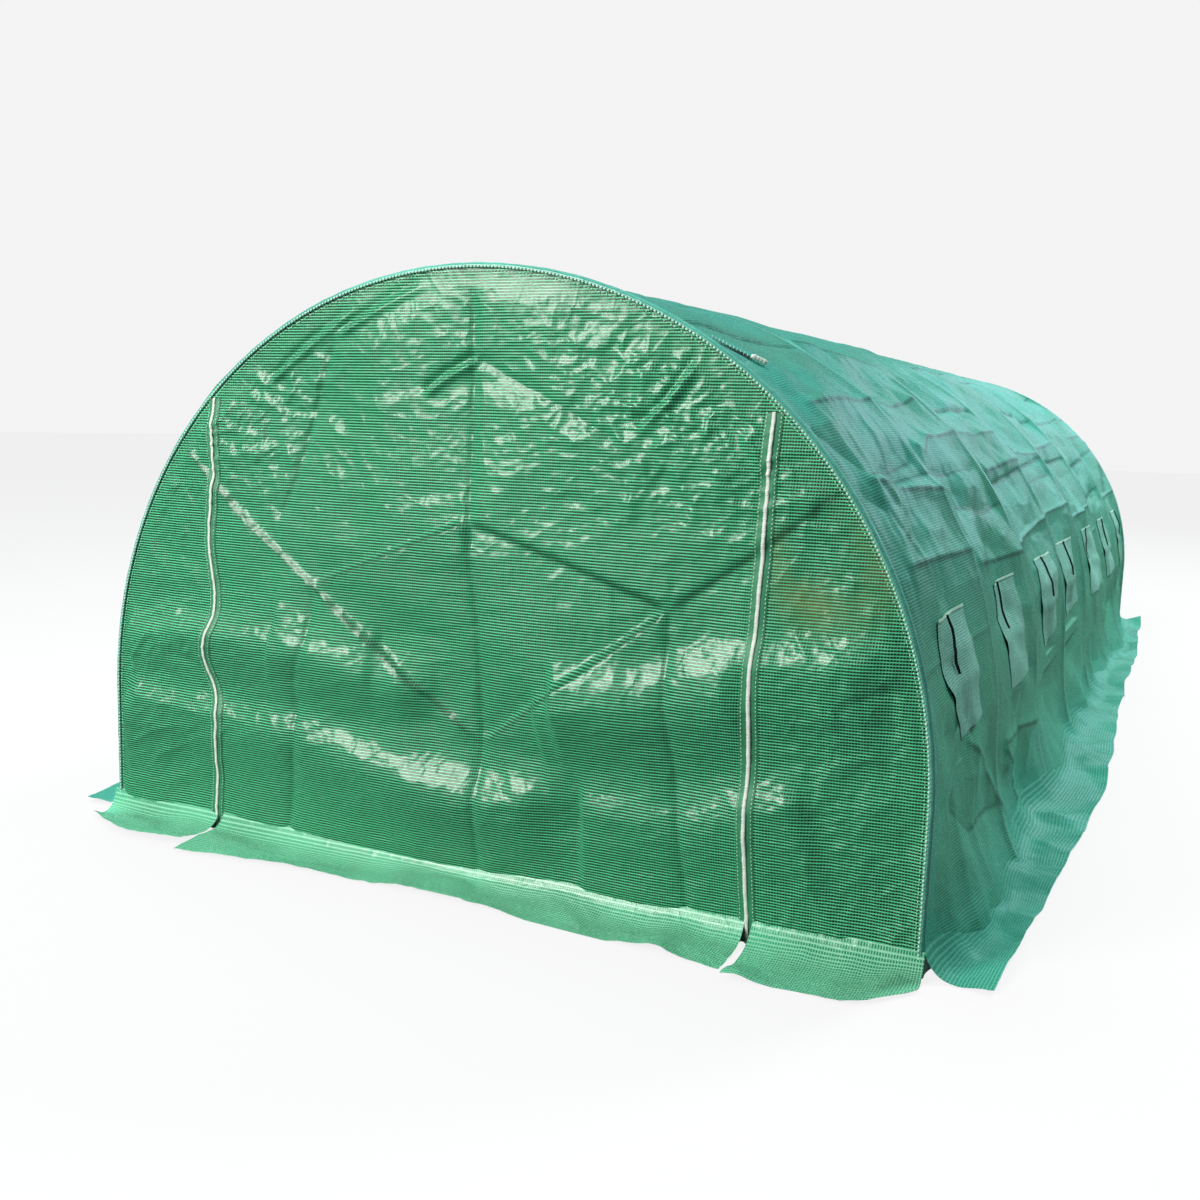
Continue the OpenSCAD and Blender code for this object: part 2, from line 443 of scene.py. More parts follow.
def film(name, gap, sheet, thread, rows=0.7, columns=0.45, low=None, foot=None, stain=None,
         crumple=0.3, creases=0.15, cells=9.0, fold_shade=None, hoops=None):
    """gap, sheet and thread are the colours of the darker and lighter film and of the threads. low and foot
    are colours of the film lower down and at the ground, and stain is the middle of a yellowed patch.
    crumple and creases are the strengths of the fine relief, and cells the creases to a metre.
    fold_shade is the colour of painted shade beside folds, partly for film lying double there, which also
    darkens a band beside each hoop, and hoops is the colour over a tube."""
    material, tree, shader = new_material(name, 0.34, 0.1)
    shader.inputs["Specular IOR Level"].default_value = 0.42
    place = add_node(tree, "ShaderNodeTexCoord").outputs["Object"]
    flat = add_node(tree, "ShaderNodeUVMap", uv_map="flat").outputs[0]
    threads = add_node(tree, "ShaderNodeGroup", {"Place": flat}, node_tree=THREADS).outputs
    inputs = {"Place": place, "Crease Scale": cells}
    tone = add_node(tree, "ShaderNodeGroup", inputs, node_tree=TONE).outputs
    body = mix(tree, soft_range(tree, tone["Patches"], 0.35, 0.65), gap, sheet)
    if low is not None:
        split = add_node(tree, "ShaderNodeSeparateXYZ", {0: place}).outputs
        body = mix(tree, soft_range(tree, split[2], 1.5, 0.6), body, low)
        body = mix(tree, soft_range(tree, split[2], 0.32, 0.06), body, foot)
    if hoops is not None:
        past = math_node(tree, "SUBTRACT", split[1], float(HOOP_Y[0]))
        nearest = math_node(tree, "PINGPONG", past, float(BAY / 2))
        # A band beside each hoop is darkened with the fold shade colour, and the hoop colour is laid over
        # the tube.
        body = mix(tree, soft_range(tree, nearest, 0.09, 0.015, 0.0, 0.35), body, fold_shade)
        body = mix(tree, soft_range(tree, nearest, 0.020, 0.006, 0.0, 0.55), body, hoops)
    row_part = math_node(tree, "MULTIPLY", threads["Rows"], rows)
    column_part = math_node(tree, "MULTIPLY", threads["Columns"], columns)
    grid = math_node(tree, "MAXIMUM", row_part, column_part)
    face = mix(tree, grid, body, thread)
    # Painted shade along the fold lines, partly for film lying double there.
    if fold_shade is not None:
        fold_shade_amount = add_node(tree, "ShaderNodeAttribute", attribute_name="fold_shade_amount")
        face = mix(tree, fold_shade_amount.outputs["Fac"], face, fold_shade)
    if stain is not None:
        away = add_node(tree, "ShaderNodeVectorMath", {0: place, 1: stain}, operation="DISTANCE")
        near = soft_range(tree, away.outputs["Value"], STAIN_REACH, 0.0, 0.0, 0.6)
        patchy = math_node(tree, "MULTIPLY", near, soft_range(tree, tone["Patches"], 0.42, 0.62))
        face = mix(tree, patchy, face, STAIN_COLOUR)
    tree.links.new(face, shader.inputs["Base Color"])
    rough = soft_range(tree, tone["Specks"], 0.3, 0.7, 0.18, 0.34)
    tree.links.new(rough, shader.inputs["Roughness"])
    bump(tree, shader, [
        (tone["Crinkles"], crumple, 0.005),
        (tone["Creases"], creases, 0.005),
        (threads["Height"], 0.5, 0.0012),
    ])
    return material


# %% [markdown]
# ### The films
# The door end is dark with bright rows and has a yellowed patch. The roof has fold lines, and its hoops
# show as paler bands. On both, a darker colour beside the folds is painted shade, partly for film lying
# double.

# %% Films
STAIN_PLACE = (1.19, -END_Y, 1.13)
FRONT_FILM = film(
    "front_film", colour(0, 18, 6), colour(0, 48, 24), colour(108, 240, 180),
    rows=0.78, columns=0.28, stain=STAIN_PLACE, crumple=0.45, creases=0.14,
    fold_shade=colour(0, 26, 14),
)
# The roof is the same film: its bluer teal higher up is a painted reflection of the sky, and the lighter
# green lower down is painted light standing in for sheen on the walls.
ROOF_FILM = film(
    "roof_film", colour(50, 124, 102), colour(32, 142, 126), colour(118, 206, 186),
    rows=0.62, columns=0.35, low=colour(62, 156, 118), foot=colour(46, 150, 122), creases=0.12, cells=5.0,
    fold_shade=colour(4, 44, 36), hoops=colour(120, 206, 184),
)
# The two skirt films are the same film painted paler and bluer: painted light and painted sky reflection
# where it lies flat.
SKIRT_FILM = film(
    "skirt_film", colour(20, 140, 98), colour(50, 174, 130), colour(180, 250, 218),
    rows=0.6, columns=0.55, crumple=0.6, creases=0.1,
)
SIDE_SKIRT_FILM = film(
    "side_skirt_film", colour(24, 132, 110), colour(44, 154, 132), colour(126, 214, 192),
    rows=0.5, columns=0.5, creases=0.1,
)
FLAP_FILM = film("flap_film", colour(84, 172, 150), colour(114, 198, 178), colour(184, 236, 220), 0.6, 0.5)
HEM_FILM = film("hem_film", colour(56, 148, 130), colour(84, 178, 158), colour(140, 214, 196), 0.4, 0.3)
print(len(bpy.data.materials), "materials with the films")

# %% [markdown]
# ## Plain finishes
# Zip, tape, ties, screens and tubes are small or hidden, so each gets one material with a little tone. A
# thread pattern on them would be too fine to see.

# %% Plain finishes
def plain(name, dark, light, roughness, scale=40.0, metallic=0.0, relief=0.0):
    material, tree, shader = new_material(name, roughness)
    shader.inputs["Metallic"].default_value = metallic
    inputs = {"Place": add_node(tree, "ShaderNodeTexCoord").outputs["Object"], "Patch Scale": scale}
    tone = add_node(tree, "ShaderNodeGroup", inputs, node_tree=TONE).outputs
    tree.links.new(mix(tree, tone["Patches"], dark, light), shader.inputs["Base Color"])
    if relief:
        bump(tree, shader, [(tone["Specks"], relief, 0.001)])
    return material


ZIP_WHITE = plain("zip_white", colour(206, 222, 212), colour(242, 248, 244), 0.42)
TAPE_GREEN = plain("zip_tape", colour(34, 122, 84), colour(66, 154, 112), 0.55)
STITCH = plain("stitch", colour(164, 220, 196), colour(210, 242, 226), 0.5)
TIE_DARK = plain("tie_tape", colour(10, 30, 26), colour(24, 52, 44), 0.7, relief=0.3)
SCREEN_MESH = plain("screen_mesh", colour(24, 88, 66), colour(44, 116, 90), 0.6, 60.0, relief=0.5)
GALVANISED = plain("galvanised", colour(128, 134, 136), colour(178, 184, 186), 0.38, 30.0, 0.85, 0.15)
for node in HOOPS + ["ridge_purlin", "left_purlin", "right_purlin", "left_base_rail", "right_base_rail"]:
    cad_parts[node].data.materials.clear()
    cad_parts[node].data.materials.append(GALVANISED)
print(len(bpy.data.materials), "materials in all")

# %% [markdown]
# ## The end walls
# The door end is three sheets: a side panel, the door curtain and the other side panel, with a zip between
# them. It is flat film with slack in it, so swags, packing folds and crinkles are summed, and all of them
# die out at the hoop, where the film is held.

# %% Door end folds
ARCH_R = COVER_R - 0.002
LEFT_SWAY = [(0.0, -0.018), (0.11, -0.018), (0.26, 0.005), (0.44, 0.035), (0.63, -0.016),
             (0.80, 0.014), (1.03, -0.015), (1.28, 0.0), (1.54, -0.012), (2.0, 0.0)]
RIGHT_SWAY = [(0.0, -0.004), (0.45, -0.016), (0.8, -0.014), (1.17, -0.004), (1.54, 0.002), (2.0, 0.0)]
SWAY_REACH = 0.16

CENTRE_FOLD = [(0.02, 1.96), (0.03, 1.56), (0.04, 1.19), (0.08, 0.87), (0.09, 0.48), (0.08, 0.02)]
DIAMOND_EDGES = [([(-0.56, 0.94), (0.04, 1.19)], -0.013),
                 ([(0.09, 0.48), (0.72, 0.97)], -0.014),
                 ([(0.72, 0.97), (1.0, 1.17), (1.21, 1.35), (1.30, 1.44)], 0.007),
                 ([(0.04, 1.19), (0.72, 0.97)], 0.009),
                 ([(-1.16, 1.40), (-0.89, 1.17), (-0.56, 0.94), (0.09, 0.48)], -0.009)]
SIDE_FOLDS = [[(-0.56, 0.94), (-0.57, 0.74), (-0.63, 0.60), (-0.63, 0.39), (-0.70, 0.02)],
              [(0.72, 0.97), (0.73, 0.70), (0.78, 0.34), (0.81, 0.02)],
              [(-0.50, 1.77), (-0.59, 1.48), (-0.65, 1.28), (-0.72, 1.14)],
              [(0.03, 1.69), (0.33, 1.55), (0.53, 1.45)], [(1.23, 0.72), (1.34, 0.79), (1.45, 0.82)]]
SWAGS = [([(-1.49, 0.44), (-0.96, 0.42), (-0.61, 0.40), (-0.24, 0.33), (0.10, 0.28), (0.45, 0.32)], 0.034),
         ([(-1.45, 0.66), (-1.19, 0.71), (-0.96, 0.70), (-0.57, 0.68), (-0.05, 0.61)], 0.026),
         ([(-0.72, 0.80), (-0.57, 0.78), (-0.28, 0.76)], 0.010),
         ([(0.33, 0.67), (0.62, 0.71), (0.74, 0.75), (0.94, 0.81), (1.14, 0.83), (1.40, 0.83)], 0.022),
         ([(0.28, 0.59), (0.50, 0.63), (0.74, 0.68), (1.00, 0.73)], 0.014),
         ([(0.44, 0.30), (0.64, 0.30), (0.79, 0.32), (0.96, 0.38), (1.20, 0.45)], 0.022)]
PLEATS = [([(-0.15, 1.94), (-0.31, 1.87), (-0.50, 1.77)], 0.020),
          ([(-0.43, 1.86), (-0.63, 1.73), (-0.80, 1.60)], 0.016),
          ([(0.78, 1.74), (0.74, 1.67), (0.67, 1.57), (0.58, 1.49)], 0.014),
          ([(0.04, 1.70), (-0.08, 1.64), (-0.16, 1.58)], 0.014)]
print(len(SWAGS), "swags,", len(DIAMOND_EDGES), "diamond edges and", len(PLEATS), "pleats on the door end")

# %% [markdown]
# ### How far the door end stands out
# All folds are added up at each place. Near the hoop the sum fades to nothing, as the film is pulled tight.

# %% Door end shape
BELLY = 0.045
SWAG_GAIN, SWAG_ABOVE, SWAG_BELOW = 1.7, 0.085, 0.18
EDGE_REACH = 0.08
FOLD_DEPTH, FOLD_WIDTH = -0.009, 0.018
PLEAT_WIDTH = 0.014
# Strengths of the painted shade along the diamond edges and the other folds.
EDGE_SHADE, FOLD_LINE_SHADE = 0.45, 0.13


def arch_top(x):
    return LEG_H + np.sqrt(np.maximum(ARCH_R ** 2 - x ** 2, 0))


def from_hoop(x, z):
    """How far a place on an end wall is from the hoop round it."""
    return np.where(z > LEG_H, ARCH_R - np.hypot(x, z - LEG_H), ARCH_R - np.abs(x))


def door_end_out(x, z):
    bunched = smooth(1.05, 1.55, z) * smooth(0.15, 0.9, np.abs(x + 0.1)) + 0.22
    out = BELLY * bell(z - 0.95, 0.55) * (1 - (x / ARCH_R) ** 2)
    out += 0.012 * noise(x * 1.9 + 3, z * 1.6, SEED)
    out += 0.0095 * bunched * crinkle(x, z * 1.5, 0.20, SEED + 1)
    out += 0.0055 * (0.2 + bunched) * crinkle(x, z * 1.3, 0.09, SEED + 7)
    out += 0.012 * facets(x, z, 0.34, 0.24, SEED + 12) + 0.006 * facets(x, z, 0.14, 0.09, SEED + 15)
    panels = smooth(ZIP_X, ZIP_X + 0.12, np.abs(x))
    out += 0.007 * panels * crinkle(x * 0.8, z, 0.17, SEED + 22)
    rolls = np.zeros_like(x)
    for line, height in SWAGS:
        rolls += swag(line, x, z, SWAG_GAIN * height, SWAG_ABOVE, SWAG_BELOW)
    out += rolls * (1 + 0.04 * crinkle(x * 0.6, z, 0.09, SEED + 18))
    for line, height in DIAMOND_EDGES:
        out += step(line, x, z, height, EDGE_REACH)
    for line in SIDE_FOLDS + [CENTRE_FOLD]:
        out += fold(line, x, z, FOLD_DEPTH, FOLD_WIDTH)
    for line, depth in PLEATS:
        out += pleat(line, x, z, depth, PLEAT_WIDTH)
    rim = 0.07 + 0.12 * smooth(1.0, 1.9, z)
    held = smooth(0.0, rim, from_hoop(x, z)) * smooth(-0.02, 0.10, z)
    return 0.002 + held * (out + 0.004)


def door_end_fold_shade(x, z):
    """How much painted shade each place on the door end gets just below a fold line, partly for film lying
    double there.
    """
    fold_shade_amount = np.zeros_like(x)
    edges = [(line, EDGE_SHADE) for line, _ in DIAMOND_EDGES]
    for line, dark in edges + [(line, FOLD_LINE_SHADE) for line in SIDE_FOLDS + [CENTRE_FOLD]]:
        d, share = distance(line, x, z)
        fold_shade_amount = np.maximum(fold_shade_amount, dark * fade(share, 0.06) * bell(d + 0.006, 0.009))
    return fold_shade_amount


def zip_sway(x, z):
    left = through(LEFT_SWAY, z) * np.exp(-np.abs(x + ZIP_X) / SWAY_REACH)
    right = through(RIGHT_SWAY, z) * np.exp(-np.abs(x - ZIP_X) / SWAY_REACH)
    return left + right


def end_wall(name, x_from, x_to, columns, rows, out, side, material):
    """side is -1 for the door end and 1 for the back."""
    front = side < 0
    across = np.linspace(x_from, x_to, columns)
    up = np.linspace(0, 1, rows)
    x, share = np.meshgrid(across, up)
    z = share * arch_top(x)
    places = np.stack([x + zip_sway(x, z) * front, side * (END_Y + out(x, z)), z + 0.002], axis=-1)
    return add_sheet(name, places, x, z, material, (0, side, 0), None, door_end_fold_shade(x, z) * front)


# %% [markdown]
# ### The three sheets of the door end
# The curtain and the two panels are cut from one shape, so their edges meet under the zips.

# %% Door end sheets
door_curtain = end_wall("door_curtain_film", -ZIP_X, ZIP_X, 280, 290, door_end_out, -1, FRONT_FILM)
left_panel = end_wall("front_left_film", -ARCH_R, -ZIP_X, 80, 240, door_end_out, -1, FRONT_FILM)
right_panel = end_wall("front_right_film", ZIP_X, ARCH_R, 80, 240, door_end_out, -1, FRONT_FILM)
stand_for(door_curtain, ["door_curtain"])
stand_for(left_panel, ["front_left_panel"])
stand_for(right_panel, ["front_right_panel"])

# %% [markdown]
# ### The back wall
# The back has no door. It is one sheet with a plain grid of packing folds and a slack roll near the ground.

# %% Back wall
BACK_UPRIGHT_FOLDS = (-0.75, 0.0, 0.75)
BACK_LEVEL_FOLDS = (0.5, 1.05, 1.55)
BACK_ROLL = [(-1.4, 0.42), (-0.4, 0.33), (0.6, 0.36), (1.4, 0.45)]


def back_out(x, z):
    out = 0.012 * noise(x * 1.7 + 8, z * 1.6, SEED + 20) + 0.003 * crinkle(x, z, 0.2, SEED + 21)
    for x_fold in BACK_UPRIGHT_FOLDS:
        out += fold([(x_fold, 0.0), (x_fold + 0.03, 2.0)], x, z, 0.006, 0.012)
    for z_fold in BACK_LEVEL_FOLDS:
        out += fold([(-1.5, z_fold), (1.5, z_fold + 0.03)], x, z, -0.005, 0.012)
    out += swag(BACK_ROLL, x, z, 0.024, 0.08, 0.16)
    held = smooth(0.0, 0.07, from_hoop(x, z)) * smooth(-0.02, 0.10, z)
    return 0.002 + held * (out + 0.004)


back_wall = end_wall("back_film", -ARCH_R, ARCH_R, 190, 150, back_out, 1, FRONT_FILM)
stand_for(back_wall, ["back_wall"])

# %% [markdown]
# ## The roof and sides
# One sheet runs from the ground on the left, over the hoops, to the ground on the right. It is made in two
# halves that meet at the ridge. It touches each hoop and sinks a little between them, and the packing folds
# break each bay into patches like bricks, because every fold ends at a hoop where the film is pulled tight.

# %% Roof folds
FOLD_LEVELS = (0.32, 0.72, 1.06, 1.24, 1.44, 1.71, 2.02)
CROSS_FOLDS = (0.30, 0.62)
NEAR_FOLDS = [
    ([(-3.70, 1.13), (-3.16, 1.09), (-2.64, 1.05)], 0.017, 0.10, 0.10),
    ([(-2.64, 1.05), (-2.38, 1.06), (-1.72, 0.99)], 0.011, 0.08, 0.08),
    ([(-2.70, 1.27), (-2.60, 1.31), (-2.36, 1.24), (-1.95, 1.22), (-1.62, 1.20)], 0.020, 0.03, 0.10),
    ([(-3.62, 1.385), (-3.29, 1.37), (-2.78, 1.33)], -0.016, 0.07, 0.04),
    ([(-3.50, 1.41), (-2.77, 1.39), (-2.36, 1.40), (-1.67, 1.38)], -0.010, 0.025, 0.02),
    ([(-3.68, 1.41), (-3.30, 1.43), (-2.91, 1.45), (-2.59, 1.48)], 0.019, 0.03, 0.13),
    ([(-2.62, 1.52), (-2.06, 1.58), (-1.62, 1.56)], -0.016, 0.08, 0.06),
    ([(-1.57, 1.41), (-0.88, 1.38), (-0.46, 1.37)], 0.016, 0.05, 0.09),
    ([(-0.51, 1.50), (0.04, 1.48), (0.53, 1.47)], -0.014, 0.06, 0.06),
    ([(-3.74, 1.68), (-3.34, 1.68), (-2.70, 1.70)], 0.016, 0.05, 0.10),
    ([(-2.67, 1.76), (-2.05, 1.78), (-1.62, 1.79)], 0.015, 0.07, 0.10),
    ([(-3.81, 1.21), (-3.67, 1.32), (-3.60, 1.41), (-3.48, 1.50)], -0.008, 0.02, 0.02),
    ([(-3.77, 1.43), (-3.65, 1.50), (-3.58, 1.59), (-3.49, 1.66)], -0.008, 0.02, 0.02),
    ([(-3.24, 2.27), (-2.93, 2.43), (-2.76, 2.58), (-2.62, 2.68)], 0.009, 0.02, 0.05),
    ([(-3.55, 2.40), (-3.30, 2.54), (-3.07, 2.55), (-2.72, 2.60)], -0.008, 0.04, 0.03),
    ([(-2.62, 2.41), (-2.22, 2.45), (-1.62, 2.51)], 0.009, 0.02, 0.07),
    ([(-2.60, 2.43), (-2.48, 2.53), (-2.25, 2.72)], 0.008, 0.03, 0.03),
]
SAG = 0.020
ROOF_SEED = SEED + 40
WINDOW_LOW, WINDOW_HIGH = 0.625, 0.915
WINDOW_HALF = 0.19
print(len(NEAR_FOLDS), "roof folds seen from near,", len(FOLD_LEVELS), "levels for the others")

# %% [markdown]
# ### How far the roof stands out
# The folds named above are those seen from near. In the other bays folds are drawn by chance at the same
# levels. Where the sum would go through a tube, the film lies on it instead.

# %% Roof shape
DEEPEST, HIGHEST = -0.075, 0.03
HOOP_REST, PURLIN_REST, REST_WIDTH = -0.001, -0.019, 0.03
# Strengths of the painted shade beside the near roof folds and the others.
NEAR_SHADE, FAR_SHADE = 0.62, 0.5
LARGE_PATCHES, SMALL_PATCHES = 0.032, 0.010


def bay_of(y):
    k = np.clip(np.searchsorted(HOOP_Y, y) - 1, 0, len(HOOP_Y) - 2)
    return k, np.clip((y - HOOP_Y[k]) / BAY, 0, 1)


def flare(s, y):
    """How far the foot of a side leans out to its skirt."""
    down = np.clip((np.abs(s) - BOW_S + 0.15) / (LEG_H + 0.15), 0, 1)
    reach = 0.10 + 0.05 * noise(y * 0.9 + 5 * np.sign(s), 0 * y, SEED + 30)
    ends = smooth(0.0, 0.5, END_Y - np.abs(y))
    return ends * reach * down ** 3


def tube_rest(s, t):
    """How far in the film can go before it lies on a hoop, or on a purlin a little further in."""
    hoop_gap = BAY * np.minimum(t, 1 - t)
    purlin_gap = np.minimum(np.abs(s), np.abs(np.abs(s) - BOW_S))
    on_hoop = HOOP_REST - np.maximum(hoop_gap - REST_WIDTH, 0)
    on_purlin = PURLIN_REST - np.maximum(purlin_gap - REST_WIDTH, 0)
    return np.maximum(on_hoop, on_purlin)


def roof_shape(s, y, seed):
    """How far the film stands out from the hoops, and how much painted shade each place gets beside a fold
    line, partly for film lying double there.
    """
    bay, t = bay_of(y)
    slack = (4 * t * (1 - t)) ** 0.7
    window = bell(np.abs(s) - 2.1, 0.2)
    loose = 0.4 + 0.6 * smooth(0.2, 1.0, np.abs(s))
    out = -SAG * loose * slack * (0.75 + 0.5 * noise(s * 1.3, y * 0.9, seed))
    fold_shade_amount = 0 * out
    rng = np.random.default_rng(seed)
    for k in range(len(HOOP_Y) - 1):
        here = (bay == k) * np.minimum(1, 3 * slack)
        for level in FOLD_LEVELS:
            start = level + rng.uniform(-0.07, 0.07)
            end = start + rng.uniform(-0.07, 0.07)
            height = rng.uniform(0.007, 0.016) * rng.choice([-1, 1])
            present = rng.random() < 0.8
            d = np.abs(s) - (start + (end - start) * t)
            if present:
                here_too = here * np.where((s > 0) & (k < 2) & (1.0 < level < 1.8), 0, 1)
                part = here_too * (1 - 0.8 * window)
                lift = np.exp(-np.hypot(d, 0.004) / 0.05)
                lift += 0.35 * np.tanh(d / 0.007) * np.exp(-np.abs(d) / 0.07)
                out += part * height * lift
                # Painted shade just beside each fold, partly for film lying double.
                fold_shade_amount = np.maximum(fold_shade_amount, FAR_SHADE * part * bell(d - 0.010, 0.010))
        for share in CROSS_FOLDS:
            at = share + rng.uniform(-0.08, 0.08)
            lean = rng.uniform(-0.04, 0.04)
            height = rng.uniform(0.002, 0.005) * rng.choice([-1, 1])
            out += here * height * np.exp(-np.hypot((t - at - lean * s) * BAY, 0.008) / 0.018)
    for line, height, above, below in NEAR_FOLDS:
        level = [(place, -section) for place, section in line]
        out += (s > 0) * fold(level, y, -np.abs(s), height, above, below)
        # Painted shade just below each near fold, partly for film lying double.
        d, share = distance(level, y, -np.abs(s))
        ends = (s > 0) * fade(share, 0.1)
        fold_shade_amount = np.maximum(fold_shade_amount, NEAR_SHADE * ends * bell(d + 0.009, 0.009))
    gathers = np.exp(-(y + END_Y) / 0.55) + np.exp(-(END_Y - y) / 0.55)
    out += 0.005 * gathers * slack * noise(s * 1.6 + y, y * 9 + 2.5 * s, seed + 3)
    patches = LARGE_PATCHES * facets(s, y, 0.25, 0.36, seed + 11)
    patches += SMALL_PATCHES * facets(s, y, 0.10, 0.15, seed + 14)
    out += loose * (0.15 + slack) * patches
    out += 0.0018 * (slack + 0.2) * crinkle(s * 0.6, y, 0.20, seed + 4)
    out += 0.0008 * crinkle(s * 0.7, y, 0.06, seed + 9)
    foot = smooth(BOW_S - 0.25, SIDE_S, np.abs(s))
    out += 0.010 * foot * slack * noise(s * 1.2, y * 4.2, seed + 6)
    out = np.clip(np.maximum(out, tube_rest(s, t)), DEEPEST, HIGHEST)
    held = smooth(0.0, 0.04, END_Y - np.abs(y))
    return 0.003 + held * out, held * fold_shade_amount


def roof_out(s, y, seed):
    return roof_shape(s, y, seed)[0]


def side_place(s, y, out):
    """The place on the cover at s along its section and y along the tunnel, out from the hoops."""
    x, z = arch_section(s, COVER_R + out)
    x = x + np.sign(s) * flare(s, y)
    return np.stack([x, y + 0 * x, np.maximum(z, 0.002)], axis=-1)


# %% [markdown]
# ### Cutting the cover
# Each side is an upper and a lower sheet, so that neither gets too many faces. The window squares are taken
# out of the lower sheet and become the screens, which then follow the film's own shape.

# %% Cover maker
def window_middle(k):
    return 0.5 * (HOOP_Y[k] + HOOP_Y[k + 1])


def section_at(height):
    """Distance along the section from the ridge to a height on the bow."""
    return COVER_R * math.acos((height - LEG_H) / COVER_R)


BAND_S = COVER_R * math.radians(66)
GRADE = 0.45


def cover_sheet(name, side, s_from, s_to, columns, rows):
    """A part of the cover, with its squares finer towards the door end, where folds are seen from near."""
    step_share = np.linspace(0, 1, columns)
    along = -END_Y + 2 * END_Y * (GRADE * step_share + (1 - GRADE) * step_share ** 2)
    round_it = np.linspace(s_from, s_to, rows) * side
    y, s = np.meshgrid(along, round_it)
    out, fold_shade_amount = roof_shape(s, y, ROOF_SEED)
    places = side_place(s, y, out)
    mid_y = 0.5 * (along[:-1] + along[1:])
    mid_s = np.abs(0.5 * (round_it[:-1] + round_it[1:]))
    in_row = (mid_s > section_at(WINDOW_HIGH)) & (mid_s < section_at(WINDOW_LOW))
    in_bay = np.zeros(len(mid_y), bool)
    for k in range(len(HOOP_Y) - 1):
        in_bay |= np.abs(mid_y - window_middle(k)) < WINDOW_HALF
    cut = in_row[:, None] & in_bay[None, :]
    cover = add_sheet(name, places, y, np.abs(s), ROOF_FILM, (side, 0, 0.6), ~cut, fold_shade_amount)
    if not cut.any():
        return cover, None
    return cover, add_sheet(name + "_screens", places, y, np.abs(s), SCREEN_MESH, (side, 0, 0.6), cut)


def hang_cover(piece, nodes):
    stand_for(piece, nodes)


# %% [markdown]
# ### The cover's sheets
# The right side is seen in the photograph, so it has more rows than the left.

# %% Cover sheets
for label, side, columns, rows in (("right", 1, 330, 300), ("left", -1, 280, 180)):
    upper, _ = cover_sheet(f"cover_{label}_upper", side, 0.0, BAND_S, columns, rows)
    lower, screens = cover_sheet(f"cover_{label}_lower", side, BAND_S, SIDE_S, columns, int(0.7 * rows))
    hang_cover(upper, [f"{label}_roof", f"{label}_shoulder"])
    hang_cover(lower, [f"{label}_window_band", f"{label}_wall"])
    hang_cover(screens, [f"{label}_window_screens"])

# %% [markdown]
# ## The skirts
# The film runs on past the foot of the wall and lies on the ground, to be buried or weighted. It is slit at
# the zips and open at the corners, so it is six loose strips with wavy outer edges.

# %% Skirts
def skirt_sheet(name, inner, outer, length, width, node, seed, material, rise=0.08):
    """inner and outer give the place of the two edges at a share along."""
    columns = max(24, int(length / 0.02))
    share, across = np.meshgrid(np.linspace(0, 1, columns), np.linspace(0, 1, 20) ** 1.4)
    edge_in, edge_out = inner(share), outer(share)
    flat_place = edge_in * (1 - across[..., None]) + edge_out * across[..., None]
    u, v = share * length, across * width
    lift = 0.010 * across * (1 + noise(u * 3.1, v * 2, seed)) + 0.004 * noise(u * 9, v * 6, seed + 1)
    lift += 0.004 * crinkle(u, v, 0.12, seed + 2) + 0.026 * facets(u, v, 0.20, 0.10, seed + 4)
    lift = np.maximum(lift, 0) * smooth(0, 0.3, across) + 0.002 + rise * (1 - across) ** 6
    places = flat_place.copy()
    places[..., 2] += lift
    piece = add_sheet(name, places, u, v, material, (0, 0, 1))
    stand_for(piece, [node])


def front_edge(x_from, x_to, widths):
    def inner(share):
        x = x_from + (x_to - x_from) * share
        return np.stack([x, 0 * x - END_Y - 0.004, 0 * x], axis=-1)

    def outer(share):
        x = x_from + (x_to - x_from) * share
        out = through(widths, share)
        return np.stack([x, -END_Y - out, 0 * x], axis=-1)

    return inner, outer


# %% [markdown]
# ### Skirts at the ends
# Widths are given at shares along each strip, as read from the photograph at the door end.

# %% Skirts at the ends
SKIRT_GAP = 0.012
LEFT_END_WIDTHS = [(0, 0.12), (0.5, 0.22), (1, 0.20)]
DOOR_WIDTHS = [(0, 0.26), (0.2, 0.20), (0.5, 0.17), (0.8, 0.20), (1, 0.22)]
RIGHT_END_WIDTHS = [(0, 0.28), (0.4, 0.25), (0.75, 0.24), (1, 0.10)]
BACK_WIDTHS = [(0, 0.16), (0.3, 0.24), (0.6, 0.20), (1, 0.18)]


def back_edge(widths):
    inner, outer = front_edge(-1.49, 1.49, widths)
    turn = np.array([1, -1, 1])
    return (lambda share: inner(share) * turn), (lambda share: outer(share) * turn)


left_end = front_edge(-1.52, -ZIP_X - SKIRT_GAP, LEFT_END_WIDTHS)
door_end = front_edge(-ZIP_X + SKIRT_GAP, ZIP_X - SKIRT_GAP, DOOR_WIDTHS)
right_end = front_edge(ZIP_X + SKIRT_GAP, 1.51, RIGHT_END_WIDTHS)
back_end = back_edge(BACK_WIDTHS)
skirt_sheet("front_left_skirt_film", *left_end, 0.5, 0.2, "front_left_skirt", SEED + 60, SKIRT_FILM)
skirt_sheet("door_skirt_film", *door_end, 2.0, 0.2, "door_skirt", SEED + 63, SKIRT_FILM)
skirt_sheet("front_right_skirt_film", *right_end, 0.5, 0.22, "front_right_skirt", SEED + 66, SKIRT_FILM)

# %% [markdown]
# ### Skirts at the sides
# Their inner edge follows the foot of the cover and rises a little way up it, so that no gap shows.

# %% Skirts at the sides
SIDE_RISE = 0.10
RIGHT_WIDTHS = [(0, 0.20), (0.08, 0.23), (0.3, 0.30), (0.55, 0.24), (0.8, 0.22), (1, 0.16)]
LEFT_WIDTHS = [(0, 0.18), (0.2, 0.26), (0.45, 0.22), (0.7, 0.28), (1, 0.18)]


